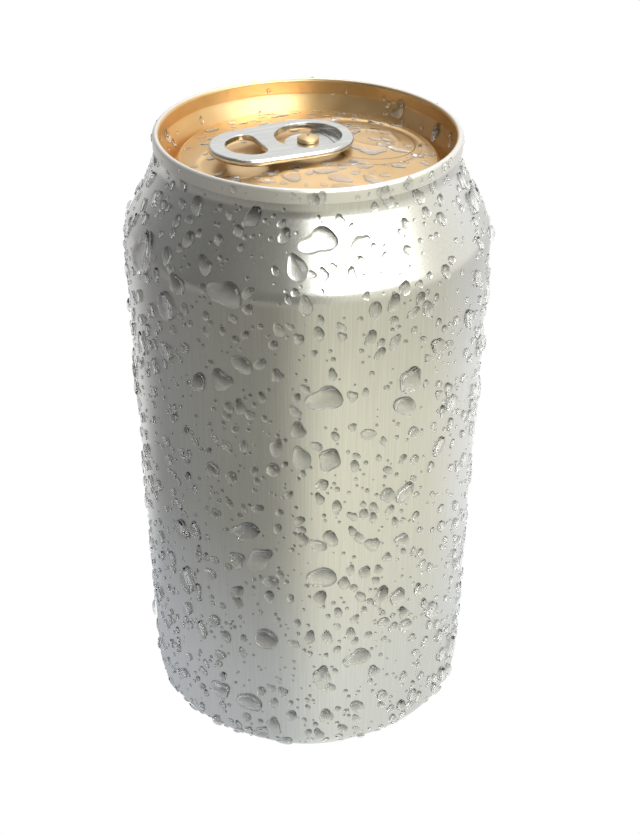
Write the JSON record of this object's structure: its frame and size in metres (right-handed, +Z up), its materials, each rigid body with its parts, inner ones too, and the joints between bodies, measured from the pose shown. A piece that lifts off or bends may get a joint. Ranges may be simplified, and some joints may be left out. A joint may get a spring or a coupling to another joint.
{
  "type": "drinks can",
  "caption": "Sealed aluminium drinks can with a necked shoulder, rolled double seam, domed base, countersunk end and a lever tab that opens its tear panel.",
  "frame": {"origin": "centre of the ring the can stands on", "axes": "+Z up the can's axis, +X from the rivet towards the tab's nose and the pour opening, +Y to the left of that"},
  "size_m": [0.0662, 0.0662, 0.1222],
  "materials": {
    "can_wall": "bare, ironed lengthwise, satin",
    "gold_lacquer": "clear gold lacquer, semi-gloss",
    "tab_metal": "bright, lightly worked",
    "compound": "matt",
    "water": "clear"
  },
  "bodies": {
    "can": {"can_body": "can_wall", "can_end": "gold_lacquer", "seam_compound": "compound", "tab_island": "tab_metal"},
    "tab": {"tab_lever": "tab_metal"},
    "tear_flap": {"tear_panel": "gold_lacquer"}
  },
  "joints": [
    {"name": "tab_lift", "type": "hinge", "parent": "can", "child": "tab", "pos_m": [0.0039, 0, 0.12], "axis": [0, 1, 0], "range_deg": [0, 55]},
    {"name": "flap_open", "type": "hinge", "parent": "can", "child": "tear_flap", "pos_m": [0.00395, 0, 0.11945], "axis": [0, 1, 0], "range_deg": [0, 72]}
  ],
  "couplings": [
    {"joint": "flap_open", "follows": "tab_lift", "ratio": 1.3}
  ]
}
